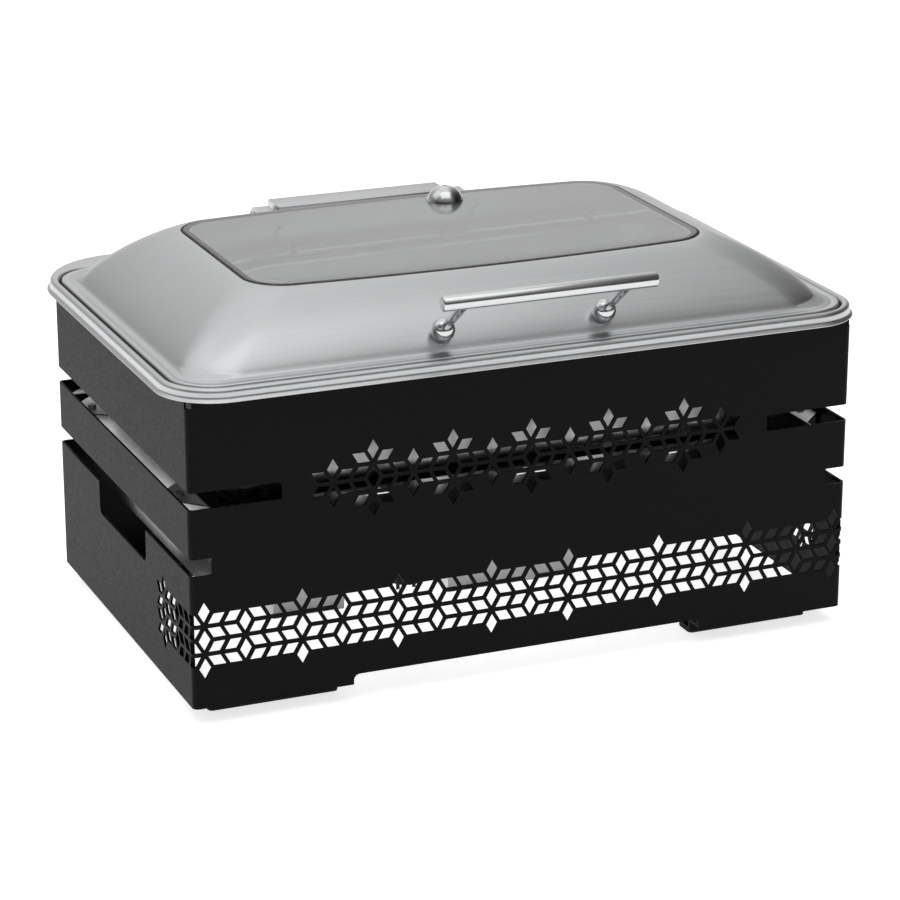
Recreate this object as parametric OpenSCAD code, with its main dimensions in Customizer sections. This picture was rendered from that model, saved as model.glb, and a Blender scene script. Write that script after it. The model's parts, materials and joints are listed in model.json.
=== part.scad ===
// Electric buffet server: a chafing dish with a hinged glass lid on a black laser-cut stand.
// Frame: origin on the table under the middle of the stand, X to the right, front at -Y, Z up.

/* [Stand] */
// Width of the stand
stand_w = 570; // [560:2:576]
// Depth of the stand
stand_d = 354; // [350:2:358]
// Height of the sheet-metal panels
panel_h = 250; // [246:1:254]
// Height of the panels above the table
foot_h = 14; // [12:1:16]
// Thickness of the black sheet
sheet = 2; // [1.5:0.5:2]
// Outer radius of the corner bends
bend_r = 5; // [4:1:6]

/* [Slots] */
// Height of the two long slots
slot_h = 14; // [10:1:16]
// Lower edge of the upper slot above the table
slot_high_z = 178; // [176:1:180]
// Lower edge of the lower slot above the table
slot_low_z = 124; // [122:1:126]
// Half distance between the ends of the upper slot on the front
slot_high_end = 209.5; // [200:0.5:215]
// Half distance between the ends of the lower slot on the front
slot_low_end = 266; // [262:1:270]
// Length of the hand grip cut in each side
grip_len = 126; // [110:2:140]
// Depth of the hand grip below the lower slot
grip_drop = 27.5; // [22:0.5:30]

/* [Diamond cut-outs] */
// Edge length of a diamond, half of each web included
tile = 13.4; // [13:0.1:13.6]
// Width of the metal web between diamonds
web = 3; // [2.4:0.2:3.6]
// Centre height of the upper band
high_band_z = 185; // [184:0.5:186]
// Centre height of the lower band
low_band_z = 70.5; // [70:0.5:72]

/* [Pans] */
// Half width of the rim, to the middle of its roll
rim_x = 293; // [291:1:294]
// Distance from the middle to the front of the rim, to the middle of its roll
rim_y = 183.6; // [182:0.2:185]
// Distance from the middle to the rear of the rim, past the shelf that carries the hinge
rim_back = 210.65; // [204:0.05:210.65]
// Corner radius of the rim at the rear
rim_back_r = 70; // [60:1:72]
// Radius of the rolled rim
roll_r = 5.35; // [5:0.05:5.5]
// Underside of the water pan
water_pan_z = 176; // [174:1:180]
// Depth of the food pan
food_pan_depth = 65; // [40:5:70]

/* [Lid] */
// Height of the window above the flange of the lid
lid_rise = 47; // [44:1:50]
// Half width of the window opening
window_x = 200; // [190:1:204]
// Half depth of the window opening at its corners
window_y = 105.5; // [102:0.5:108]
// Extra depth of the window at the middle of its long sides
window_bow = 10; // [4:1:12]
// Fullness of the lid's curved walls, 1 is flat
lid_fullness = 1.3; // [1.1:0.05:1.5]
// Length of the handle bar
handle_len = 181; // [170:1:190]

/* [Controls] */
// Diameter of the thermostat knob
knob_d = 38; // [32:1:40]

/* [Hidden] */
$fn = 48;

// Stand outline and levels
half_w = stand_w / 2;
half_d = stand_d / 2;
panel_top = foot_h + panel_h;
slot_high_top = slot_high_z + slot_h;
slot_low_top = slot_low_z + slot_h;
row = tile * sqrt(3) / 2;          // height of one row of diamonds
shrink = 1 - web / row;            // size of a diamond once half a web is taken off each edge
side_len = stand_d - 2 * bend_r;   // length of the flat side pieces
angle_t = 1.5;                     // sheet of the angles inside the corners
low_angle_top = 33;
high_angle_foot = 108;
steel = 1.2;                       // stainless sheet
thin = 1;                          // tray sheet

// Columns of the lower band, in diamond edges from its centre: single and double stars in turn
low_columns = [0, 2.5, 6, 8.5, 12, 14.5, 18, 20.5, 24, 26.5];
// Foot positions
foot_in = 156;
foot_out = 265;
foot_set_back = 24;
foot_w = 22;
pad_h = 3;
floor_lip_x = 152.5;               // inner end of a floor lip
floor_lip_y = 128;                 // its inner edge
floor_lip_w = 126;
arch_x = 152;                      // half width of the shallow arch under the front and the rear
arch_h = 8.5;
vent_pitch = 15;                   // rows of air holes in the rear panel
vent_hole_r = 3.5;
bracket_z = 146;                   // foot of the brackets that carry the tray
m4_hole = 2.2;                     // clearance radius for an M4 screw
m4 = 1.95;                         // radius of its shank
m4_nut = 3.8;
m4_nut_bore = 2.05;
m4_nut_h = 3;

// Heater tray
tray_x = 262;
tray_y = 158;
tray_z = 100;
tray_top = 171;
ear_x = [-250, -125, 0, 125, 250];
side_ear_y = 118;
element_z = 150;
element_r = 4;
loop_r = 24;
terminal_x = 40;                   // where the element's ends pass down through the tray
element_y = -100;                  // front run of the element
element_end = 200;
bend_centre_r = 12;
board_x = 256;
board_y = 152;
board_t = 18;
reflector_t = 0.8;
sensor_z = 60;                     // underside of the boxes below the tray

// Pan levels
ledge_z = panel_top + 0.3;
ledge_top = ledge_z + steel;
roll_z = panel_top + 0.35 + roll_r;
well_x = 257;
well_y = 155;
well_r = 30;
well_bottom_r = 12;
recess_x = rim_x - 4.2;            // the step in which the lid's flange lies
recess_y = rim_y - 4.1;
recess_r = 38.5;
rim_r = 42;
food_flange_x = 265;
food_flange_y = 162.5;
food_x = 252.5;
food_y = 150;
food_r = 28;

// Lid levels
flange_x = rim_x - 6;
flange_y = rim_y - 6.6;
flange_r = 36;
wall_x = flange_x - 12;
wall_y = flange_y - 12;
wall_r = 40;
flange_top = roll_z + roll_r;
window_z = flange_top + lid_rise;
window_r = 32;
window_shift = 12.5;
wall_steps = 10;
glass_z = window_z - 3;
glass_t = 3.6;
vent_x = 41;
vent_y = 100;
vent_r = 15.5;
vent_h = 13;

// Lid hinge
axis_y = 201;
axis_z = 294;
shaft_r = 5;
arm_r = 11.5;
arm_in = 83;
arm_w = 14;
house_x = 79;
base_x = 114;
base_y = 181;
base_screw_x = 104;
base_screw_y = 192;
house_y0 = 184;
house_y1 = 215;
house_top = 308;
base_top = flange_top + 2.1;

// Handle
bar_y = -210;
bar_z = 329;
bar_r = 6;
boss_x = 69;
boss_y = -160.6;
boss_z = 292.5;
boss_r = 9.5;
boss_tilt = 46;                    // angle of the wall's normal from straight up, towards the front
boss_base = 6.6;                   // distance from the ball's centre to its flat base
post_r = 3.5;

// Control box on the rear panel
box_x = 80;
box_z0 = 40;
box_z1 = 112;
box_y = 199;
box_t = 1.5;
box_flange = 13;                   // width of the flanges that hold the box to the panel
box_screw_x = 86;
box_screw_in = 8;
control_z = 76;
inlet_x = -52;
rocker_x = -8;
lamp_x = 14;
knob_x = 48;
rocker_axis_y = 194;
rocker_tilt = 10;

// ---------- helpers ----------

module rounded(w, d, r) {
    square([w - 2 * r, d], center = true);
    square([w, d - 2 * r], center = true);
    for (x = [-1, 1], y = [-1, 1]) translate([x * (w / 2 - r), y * (d / 2 - r)]) circle(r);
}

// Sweeps a profile round a rounded rectangle. The profile's x is the distance outside it, its y the height.
module swept(w, d, r) {
    for (turn = [0, 180]) rotate(turn) {
        translate([r - w / 2, d / 2]) rotate([90, 0, 90]) linear_extrude(w - 2 * r) children();
        translate([w / 2, d / 2 - r]) rotate([90, 0, 0]) linear_extrude(d - 2 * r) children();
        translate([w / 2 - r, d / 2 - r]) rotate_extrude(angle = 90) translate([r, 0]) children();
        translate([r - w / 2, d / 2 - r]) rotate(90) rotate_extrude(angle = 90) translate([r, 0]) children();
    }
}

// Stands a drawing of a front or rear panel upright, its thickness running to +Y from y0
module upright(y0, t) {
    translate([0, y0 + t, 0]) rotate([90, 0, 0]) linear_extrude(t) children();
}

// Stands a drawing of a side piece upright: its x becomes Y, its thickness runs to +X from x0
module sideways(x0, t) {
    translate([x0, 0, 0]) rotate([90, 0, 90]) linear_extrude(t) children();
}

// Copies a child to the left and right, and to the front and rear
module both_sides() {
    children();
    mirror([1, 0, 0]) children();
}

module both_ends() {
    children();
    mirror([0, 1, 0]) children();
}

module bar_x(x0, x1, y, z, r) {
    translate([x0, y, z]) rotate([0, 90, 0]) cylinder(h = x1 - x0, r = r);
}

module bar_y(x, y0, y1, z, r) {
    translate([x, y0, z]) rotate([-90, 0, 0]) cylinder(h = y1 - y0, r = r);
}

// ---------- diamond pattern ----------

// One diamond about its centre, from its two edge directions
module diamond(x, z, a, b) {
    k = shrink / 2;
    translate([x, z]) polygon([-k * (a + b), k * (a - b), k * (a + b), k * (b - a)]);
}

// A diamond with level edges in a row; lean is 1 for / and -1 for \
module level_diamond(x, z, lean) {
    diamond(x, z, [tile, 0], [lean * tile / 2, row]);
}

module petal(x, z) {
    diamond(x, z, [tile / 2, row], [-tile / 2, row]);
}

// Petals of one column of the lower band: a single star has two, a double star has three
module low_petals(x, double) {
    if (double) for (z = [-2, 0, 2]) petal(x, low_band_z + z * row);
    else for (z = [-1, 1]) petal(x, low_band_z + z * row);
}

// The four rows between two columns of the lower band
module low_rows(x, count, double) {
    for (k = [0 : count - 1], level = [-1.5, -0.5, 0.5, 1.5]) {
        inner = abs(level) < 1;
        up = level > 0;
        lean = (inner == up ? -1 : 1) * (double ? 1 : -1);
        level_diamond(x + (k + 0.75) * tile, low_band_z + level * row, lean);
    }
}

// Half of the lower band, between two of its columns
module low_band(from, to) {
    for (i = [from : to]) {
        double = i % 2 == 1;
        last = i == len(low_columns) - 1;
        count = last ? 1 : floor(low_columns[i + 1] - low_columns[i]);
        low_petals(low_columns[i] * tile, double);
        low_rows(low_columns[i] * tile, count, double);
    }
}

// The upper band: stars in turn single and double, 2.5 edges apart
module high_band() {
    for (i = [0 : 5]) {
        x = i * 2.5 * tile;
        double = i % 2 == 0;
        count = i == 5 ? 1 : 2;
        for (side = i == 0 ? [1] : [-1, 1]) {
            if (double) for (z = [-2, 0, 2]) petal(side * x, high_band_z + z * row);
            else for (z = [-1, 1]) petal(side * x, high_band_z + z * row);
        }
        for (side = [-1, 1], k = [0 : count - 1], half = [-1, 1]) {
            lean = side * half * (double ? -1 : 1);
            level_diamond(side * (x + (k + 0.75) * tile), high_band_z + half * row / 2, lean);
        }
        if (double) for (side = [-1, 1], half = [-1, 1], column = i == 0 ? [1] : [-1, 1])
            level_diamond(column * x + side * 0.75 * tile, high_band_z + half * 1.5 * row, side * half);
    }
}

// ---------- stand ----------

// Cuts shared by the front and the rear: the slots' ends and the shallow arch under the panel
module end_cuts() {
    for (side = [-1, 1]) {
        translate([side > 0 ? slot_high_end : -half_w - 1, slot_high_z])
            square([half_w + 1 - slot_high_end, slot_h]);
        translate([side > 0 ? slot_low_end : -half_w - 1, slot_low_z])
            square([half_w + 1 - slot_low_end, slot_h]);
    }
    translate([0, foot_h]) rounded(2 * arch_x, 2 * arch_h, 5);
}

// A flat panel with a quarter bend down each end
module bent_panel() {
    difference() {
        union() {
            upright(-half_d, sheet) translate([bend_r - half_w, foot_h])
                square([stand_w - 2 * bend_r, panel_h]);
            for (side = [0, 1]) mirror([side, 0, 0])
                translate([half_w - bend_r, bend_r - half_d, foot_h])
                    rotate([0, 0, -90]) rotate_extrude(angle = 90)
                        translate([bend_r - sheet, 0]) square([sheet, panel_h]);
        }
        children();
        for (side = [-1, 1]) translate([side * (half_w - 2), 2 - half_d, panel_top - 5])
            cylinder(h = 6, r = 3.2);
    }
}

module front_panel() {
    color([0.13, 0.13, 0.14])
        bent_panel()
            upright(-half_d - 1, bend_r + 2) {
                end_cuts();
                high_band();
                low_band(0, 7);
                mirror([1, 0]) low_band(1, 7);
                mirror([1, 0]) low_rows(0, 2, false);
            }
}

// Screws of the control box, drawn flat on the rear panel
module box_screw_places() {
    for (x = [-box_screw_x, box_screw_x], z = [box_z0 + box_screw_in, box_z1 - box_screw_in])
        translate([x, z]) children();
}

module rear_panel() {
    color([0.13, 0.13, 0.14])
        rotate(180) bent_panel()
            upright(-half_d - 1, bend_r + 2) {
                end_cuts();
                translate([0, control_z]) square([2 * (box_x - 8), box_z1 - box_z0 - 12], center = true);
                box_screw_places() circle(m4_hole);
                for (side = [-1, 1], column = [8 : 13], rank = [4 : 7])
                    translate([side * column, rank] * vent_pitch) circle(vent_hole_r);
            }
}

module side_band(z0, z1) {
    color([0.15, 0.15, 0.16])
        sideways(half_w - sheet, sheet) translate([-side_len / 2, z0]) square([side_len, z1 - z0]);
}

module right_top_band() {
    side_band(slot_high_top, panel_top);
}

module left_top_band() {
    mirror([1, 0, 0]) side_band(slot_high_top, panel_top);
}

module right_middle_band() {
    side_band(slot_low_top, slot_high_z);
}

module left_middle_band() {
    mirror([1, 0, 0]) side_band(slot_low_top, slot_high_z);
}

// Hand grip at the top edge, and the front band of diamonds carried round the corner
module right_lower_panel() {
    color([0.15, 0.15, 0.16])
        sideways(half_w - sheet, sheet) difference() {
            translate([-side_len / 2, foot_h]) square([side_len, slot_low_z - foot_h]);
            translate([0, slot_low_z]) rounded(grip_len, 2 * grip_drop, 6);
            intersection() {
                translate([-half_d - half_w, 0]) low_band(7, 9);
                translate([bend_r - half_d, foot_h]) square([side_len, slot_low_z - foot_h]);
            }
        }
}

module left_lower_panel() {
    mirror([1, 0, 0]) right_lower_panel();
}

// Strips folded inward along the top edges, on which the rim of the pan rests
module top_lips() {
    lip = 14;
    color([0.15, 0.15, 0.16]) {
        both_ends() translate([-half_w + 24, half_d - sheet - lip, panel_top - sheet])
            cube([stand_w - 48, lip, sheet]);
        both_sides() translate([half_w - sheet - lip, -half_d + 24, panel_top - sheet])
            cube([lip, stand_d - 48, sheet]);
    }
}

// One angle, nested in a corner bend
module corner_angle(z0, z1) {
    leg = 14;
    r = bend_r - sheet - 0.1;
    translate([half_w - bend_r, half_d - bend_r, z0]) {
        rotate_extrude(angle = 90) translate([r - angle_t, 0]) square([angle_t, z1 - z0]);
        translate([r - angle_t, -leg, 0]) cube([angle_t, leg, z1 - z0]);
        translate([-leg, r - angle_t, 0]) cube([leg, angle_t, z1 - z0]);
    }
}

// The lowest angles are joined by a wide leg behind the side's diamonds, so that only the front shows light
module corner_angles() {
    wide_leg = 40;
    color([0.15, 0.15, 0.16])
        both_sides() both_ends() {
            corner_angle(foot_h + sheet + 0.5, low_angle_top);
            corner_angle(high_angle_foot, slot_low_z - 2);
            corner_angle(slot_low_top + 2, slot_high_z - 2);
            corner_angle(slot_high_top + 2, panel_top - 6);
            translate([half_w - sheet - 0.1 - angle_t, half_d - bend_r - wide_leg, low_angle_top - 4])
                cube([angle_t, wide_leg, high_angle_foot - low_angle_top + 8]);
        }
}

module floor_lips() {
    color([0.15, 0.15, 0.16])
        both_sides() both_ends()
            translate([floor_lip_x, floor_lip_y, foot_h])
                cube([floor_lip_w, half_d - sheet - floor_lip_y, sheet]);
}

// Folded C-shaped foot below each floor lip
module feet() {
    y0 = half_d - foot_set_back;
    h = foot_h - pad_h;
    color([0.12, 0.12, 0.13])
        both_sides() both_ends()
            translate([foot_in, y0, pad_h]) rotate([90, 0, 90]) linear_extrude(foot_out - foot_in) {
                translate([-sheet, 0]) square([sheet, h]);
                translate([-foot_w, 0]) square([foot_w, sheet]);
                translate([-foot_w, h - sheet]) square([foot_w, sheet]);
            }
}

module foot_pads() {
    color([0.08, 0.08, 0.08])
        both_sides() both_ends()
            translate([(foot_in + foot_out) / 2, half_d - foot_set_back - foot_w / 2, 0])
                linear_extrude(pad_h) rounded(foot_out - foot_in, foot_w, 4);
}

// ---------- heater ----------

module ear(length, depth, hole) {
    difference() {
        half = length / 2;
        polygon([[-half, 0], [half, 0], [half - depth, depth], [depth - half, depth]]);
        translate([0, depth * 0.52]) circle(hole);
    }
}

module terminal_places() {
    for (x = [-terminal_x, terminal_x]) translate([x, element_y, 0]) children();
}

module heater_tray() {
    ear_d = half_d - sheet - tray_y - 0.3;
    side_ear_d = half_w - sheet - tray_x - 0.3;
    color([0.80, 0.81, 0.82]) {
        difference() {
            translate([-tray_x, -tray_y, tray_z]) cube([2 * tray_x, 2 * tray_y, tray_top - tray_z]);
            translate([thin - tray_x, thin - tray_y, tray_z + thin])
                cube([2 * (tray_x - thin), 2 * (tray_y - thin), tray_top - tray_z]);
            terminal_places() translate([0, 0, tray_z - 1]) cylinder(h = 4, r = 6);
        }
        both_ends() for (x = ear_x)
            translate([x, tray_y, tray_top - thin]) linear_extrude(thin) ear(60, ear_d, 3.5);
        both_sides() both_ends()
            translate([tray_x, side_ear_y, tray_top - thin]) rotate(-90)
                linear_extrude(thin) ear(64, side_ear_d, m4_hole);
    }
}

module tray_brackets() {
    hole_x = tray_x + (half_w - sheet - tray_x - 0.3) * 0.52;
    color([0.15, 0.15, 0.16])
        both_sides() both_ends() difference() {
            union() {
                translate([half_w - 2 * sheet, side_ear_y - 12, bracket_z])
                    cube([sheet, 24, tray_top - thin - bracket_z]);
                translate([tray_x + 2, side_ear_y - 12, tray_top - thin - sheet])
                    cube([half_w - 2 * sheet - tray_x - 2, 24, sheet]);
            }
            translate([hole_x, side_ear_y, tray_top - 5]) cylinder(h = 6, r = m4_hole);
        }
}

// M4 screw with a cross in its head, the shank below Z 0
module screw(length, head_r = 3.6, head_h = 2.2) {
    translate([0, 0, -length]) cylinder(h = length, r = m4);
    difference() {
        cylinder(h = head_h, r = head_r);
        for (turn = [0, 90]) rotate(turn) translate([-head_r * 0.55, -0.5, head_h - 1])
            cube([head_r * 1.1, 1, 2]);
    }
}

module nut(r, bore, h) {
    difference() {
        cylinder(h = h, r = r, $fn = 6);
        translate([0, 0, -1]) cylinder(h = h + 2, r = bore);
    }
}

module tray_screws() {
    hole_x = tray_x + (half_w - sheet - tray_x - 0.3) * 0.52;
    color([0.6, 0.6, 0.62])
        both_sides() both_ends() translate([hole_x, side_ear_y, tray_top]) {
            screw(9);
            translate([0, 0, -thin - sheet - m4_nut_h]) nut(m4_nut, m4_nut_bore, m4_nut_h);
        }
}

module insulation_board() {
    color([0.88, 0.84, 0.74]) difference() {
        translate([-board_x, -board_y, tray_z + thin]) cube([2 * board_x, 2 * board_y, board_t]);
        terminal_places() translate([0, 0, tray_z]) cylinder(h = 30, r = 6);
    }
}

module reflector_sheet() {
    color([0.85, 0.86, 0.87]) difference() {
        translate([-board_x, -board_y, tray_z + thin + board_t])
            cube([2 * board_x, 2 * board_y, reflector_t]);
        terminal_places() translate([0, 0, tray_z]) cylinder(h = 30, r = 6);
    }
}

// Two long loops, their ends turned down through the tray into the junction box
module heating_element() {
    bend_x = terminal_x + bend_centre_r;
    bend_z = element_z - bend_centre_r;
    return_x = 70;
    foot_z = 84;
    color([0.32, 0.30, 0.29]) both_sides() translate([0, element_y, 0]) {
        translate([terminal_x, 0, foot_z]) cylinder(h = bend_z - foot_z, r = element_r);
        translate([bend_x, 0, bend_z]) rotate([90, 0, 0]) rotate(90)
            rotate_extrude(angle = 90) translate([bend_centre_r, 0]) circle(element_r);
        bar_x(bend_x, element_end, 0, element_z, element_r);
        bar_x(return_x, element_end, 2 * loop_r, element_z, element_r);
        bar_x(return_x, element_end, 4 * loop_r, element_z, element_r);
        bar_x(0, element_end, 6 * loop_r, element_z, element_r);
        for (turn = [1, 5]) translate([element_end, turn * loop_r, element_z]) rotate(-90)
            rotate_extrude(angle = 180) translate([loop_r, 0]) circle(element_r);
        translate([return_x, 3 * loop_r, element_z]) rotate(90)
            rotate_extrude(angle = 180) translate([loop_r, 0]) circle(element_r);
    }
}

// Posts with a cradle under the inner runs of the element
module element_clips() {
    base = tray_z + thin + board_t + reflector_t;
    color([0.7, 0.7, 0.72])
        for (x = [-180, 180], run = [2, 4, 6])
            translate([x, element_y + run * loop_r, base]) difference() {
                union() {
                    cylinder(h = 1.5, r = 7);
                    cylinder(h = element_z - base, r = 3);
                    translate([-3, -7, element_z - base - 6]) cube([6, 14, 6]);
                }
                bar_x(-10, 10, 0, element_z - base, element_r + 0.1);
            }
}

module hollow_box(x0, x1, y0, y1, z0, z1, t) {
    difference() {
        translate([x0, y0, z0]) cube([x1 - x0, y1 - y0, z1 - z0]);
        translate([x0 + t, y0 + t, z0 + t]) cube([x1 - x0 - 2 * t, y1 - y0 - 2 * t, z1 - z0]);
    }
}

// Cover over the element's terminals, below the tray
module junction_box() {
    color([0.66, 0.67, 0.68]) difference() {
        hollow_box(-52, 60, -130, -66, sensor_z, tray_z, steel);
        bar_y(20, -70, -60, 82, 4.2);
    }
}

module thermal_cutout() {
    color([0.60, 0.60, 0.62]) translate([-80, -108, 0]) {
        translate([0, 0, 68]) cylinder(h = tray_z - 68, r = 14);
        translate([-20, -7, tray_z - 3]) cube([40, 14, 3]);
        for (x = [-7, 7]) translate([x - 1.5, -0.4, 60]) cube([3, 0.8, 8]);
    }
}

module sensor_housing() {
    color([0.66, 0.67, 0.68]) hollow_box(-202, -142, -130, -66, sensor_z, tray_z, steel);
}

// Sheathed loom from the control box to the junction box
module wiring_loom() {
    color([0.75, 0.74, 0.70]) bar_y(20, -78, 176, 82, 4);
}

// ---------- control box ----------

module control_box() {
    color([0.15, 0.15, 0.16]) difference() {
        union() {
            translate([-box_x, half_d, box_z0]) cube([2 * box_x, box_y - half_d, box_z1 - box_z0]);
            translate([-box_x - box_flange, half_d, box_z0])
                cube([2 * (box_x + box_flange), box_t, box_z1 - box_z0]);
        }
        translate([-box_x + box_t, half_d - 1, box_z0 + box_t])
            cube([2 * (box_x - box_t), box_y - half_d + 1 - box_t, box_z1 - box_z0 - 2 * box_t]);
        upright(half_d - 1, 5) box_screw_places() circle(m4_hole);
        translate([inlet_x - 14.2, box_y - 3, control_z - 11]) cube([28.4, 5, 22]);
        translate([rocker_x - 7.5, box_y - 3, control_z - 14]) cube([15, 5, 28]);
        bar_y(lamp_x, box_y - 3, box_y + 2, control_z + 8, 5);
        bar_y(knob_x, box_y - 3, box_y + 2, control_z, 5);
    }
}

module control_box_screws() {
    color([0.6, 0.6, 0.62])
        translate([0, half_d + box_t, 0]) rotate([90, 0, 0]) box_screw_places() rotate([180, 0, 0]) {
            screw(9);
            translate([0, 0, -box_t - sheet - m4_nut_h]) nut(m4_nut, m4_nut_bore, m4_nut_h);
        }
}

module thermostat_body() {
    color([0.82, 0.80, 0.74]) difference() {
        union() {
            translate([knob_x - 17, 174, control_z - 17]) cube([34, box_y - box_t - 174, 34]);
            bar_y(knob_x, box_y - box_t - 0.5, box_y + 0.2, control_z, 4.9);
            for (z = [-10, 10]) translate([knob_x - 3, 166, control_z + z - 0.4]) cube([6, 8.5, 0.8]);
        }
        bar_y(knob_x, 180, box_y + 2, control_z, 3.05);
    }
}

module thermostat_spindle() {
    color([0.7, 0.7, 0.72]) bar_y(knob_x, 184, 211, control_z, 3);
}

// Round knob with finger flutes and a raised pointer
module thermostat_knob() {
    color([0.08, 0.08, 0.09]) translate([knob_x, box_y + 0.6, control_z]) rotate([-90, 0, 0]) difference() {
        union() {
            cylinder(h = 4, r = knob_d / 2);
            translate([0, 0, 4]) cylinder(h = 12.4, r = knob_d / 2 - 4);
            translate([-1.2, -knob_d / 2 + 5, 4]) cube([2.4, 10, 12.4]);
        }
        translate([0, 0, -1]) cylinder(h = 12.4, r = 3);
        for (turn = [0 : 30 : 330]) rotate(turn + 15)
            translate([knob_d / 2 - 3, 0, 4]) cylinder(h = 13, r = 1.8);
    }
}

module lamp_body() {
    color([0.85, 0.85, 0.82]) bar_y(lamp_x, 178, box_y - box_t, control_z + 8, 6);
}

module lamp_lens() {
    color([0.9, 0.35, 0.1]) translate([lamp_x, box_y - box_t, control_z + 8]) rotate([-90, 0, 0]) {
        cylinder(h = box_t, r = 5);
        translate([0, 0, box_t]) difference() {
            sphere(r = 6.2);
            translate([-10, -10, -20]) cube([20, 20, 20]);
        }
    }
}

module switch_frame() {
    color([0.1, 0.1, 0.11]) difference() {
        union() {
            translate([rocker_x - 9.5, box_y, control_z - 16]) cube([19, 1.8, 32]);
            translate([rocker_x - 7.5, 178, control_z - 14]) cube([15, box_y - 178, 28]);
        }
        translate([rocker_x - 5.8, 186, control_z - 12.6]) cube([11.6, 20, 25.2]);
    }
    color([0.7, 0.6, 0.3]) for (z = [-7, 7])
        translate([rocker_x - 2.5, 169, control_z + z - 0.4]) cube([5, 9, 0.8]);
}

// Rocker held in its off position, its pivot along X
module switch_rocker() {
    color([0.08, 0.08, 0.09]) translate([rocker_x, rocker_axis_y, control_z]) rotate([-rocker_tilt, 0, 0])
        translate([-5.5, 0, 0]) rotate([90, 0, 90]) linear_extrude(11)
            polygon([[-1, -9], [8.6, -10.6], [7, 0], [8.6, 10.6], [-1, 9], [-4, 0]]);
}

// Three flat pins in a triangle, their tails behind the inlet
module pins(length) {
    for (pin = [[-7, -1], [0, 3.5], [7, -1]])
        translate([inlet_x + pin[0] - 1, 170, control_z + pin[1] - 2]) cube([2, length, 4]);
}

// Appliance inlet with an open recess for the connector
module inlet_socket() {
    color([0.08, 0.08, 0.09]) difference() {
        union() {
            translate([inlet_x - 17, box_y, control_z - 14]) cube([34, 2, 28]);
            translate([inlet_x - 14.2, 178, control_z - 11]) cube([28.4, box_y - 178, 22]);
        }
        translate([inlet_x - 12, 183, control_z - 8]) cube([24, 20, 16]);
        pins(20);
    }
}

module inlet_pins() {
    color([0.8, 0.8, 0.8]) pins(25);
}

// ---------- pans ----------

// Wall of a pan with a rounded foot, measured inward from its outer face
module pan_wall(z0, z1, foot_r, t) {
    translate([-t, z0 + foot_r]) square([t, z1 - z0 - foot_r]);
    translate([-foot_r, z0 + foot_r]) intersection() {
        difference() {
            circle(foot_r);
            circle(foot_r - t);
        }
        translate([0, -foot_r]) square([foot_r, foot_r]);
    }
}

module pan_well(x, y, r, z0, z1, foot_r, t) {
    swept(2 * x, 2 * y, r) pan_wall(z0, z1, foot_r, t);
    translate([0, 0, z0]) linear_extrude(t) rounded(2 * (x - foot_r), 2 * (y - foot_r), r - foot_r);
}

// Sweeps a profile round the rim, whose rear corners are larger than its front ones
module round_the_rim() {
    both_sides() {
        translate([rim_x, rim_back - rim_back_r]) rotate([90, 0, 0])
            linear_extrude(rim_back - rim_back_r + rim_y - rim_r) children();
        translate([rim_x - rim_r, rim_r - rim_y]) rotate(-90) rotate_extrude(angle = 90)
            translate([rim_r, 0]) children();
        translate([rim_x - rim_back_r, rim_back - rim_back_r]) rotate_extrude(angle = 90)
            translate([rim_back_r, 0]) children();
    }
    translate([rim_back_r - rim_x, rim_back]) rotate([90, 0, 90])
        linear_extrude(2 * (rim_x - rim_back_r)) children();
    translate([rim_x - rim_r, -rim_y]) rotate([90, 0, -90]) linear_extrude(2 * (rim_x - rim_r)) children();
}

module lid_recess(grow) {
    rounded(2 * (recess_x + grow), 2 * (recess_y + grow), recess_r + grow);
}

// The shelf behind the lid, as far as the middle of the roll
module shelf_outline() {
    start = rim_back - rim_back_r - 1;
    difference() {
        union() {
            translate([-rim_x, start]) square([2 * rim_x, rim_back - rim_back_r - start]);
            translate([rim_back_r - rim_x, start]) square([2 * (rim_x - rim_back_r), rim_back - start]);
            both_sides() intersection() {
                translate([rim_x - rim_back_r, rim_back - rim_back_r]) circle(rim_back_r);
                translate([0, start]) square([rim_x, rim_back - start]);
            }
        }
        lid_recess(0);
    }
}

module hinge_screw_places() {
    for (x = [-base_screw_x, base_screw_x]) translate([x, base_screw_y, flange_top]) children();
}

module water_pan() {
    color([0.72, 0.73, 0.74]) difference() {
        union() {
            pan_well(well_x, well_y, well_r, water_pan_z, ledge_top, well_bottom_r, steel);
            translate([0, 0, ledge_z]) linear_extrude(steel) difference() {
                lid_recess(steel);
                rounded(2 * (well_x - steel), 2 * (well_y - steel), well_r - steel);
            }
            translate([0, 0, flange_top - steel]) linear_extrude(steel) shelf_outline();
            translate([0, 0, ledge_z]) linear_extrude(flange_top - ledge_z) intersection() {
                shelf_outline();
                lid_recess(steel);
            }
            round_the_rim() translate([0, roll_z]) difference() {
                circle(roll_r);
                circle(roll_r - steel);
            }
        }
        hinge_screw_places() translate([0, 0, -5]) cylinder(h = 6, r = m4_hole);
    }
}

module food_pan() {
    top = ledge_top + 0.3;
    color([0.78, 0.79, 0.80]) {
        pan_well(food_x, food_y, food_r, top + 1 - food_pan_depth, top + 1, 14, 1);
        translate([0, 0, top]) linear_extrude(1) difference() {
            rounded(2 * food_flange_x, 2 * food_flange_y, 34);
            rounded(2 * (food_x - 1), 2 * (food_y - 1), food_r - 1);
        }
    }
}

// ---------- lid ----------

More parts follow.
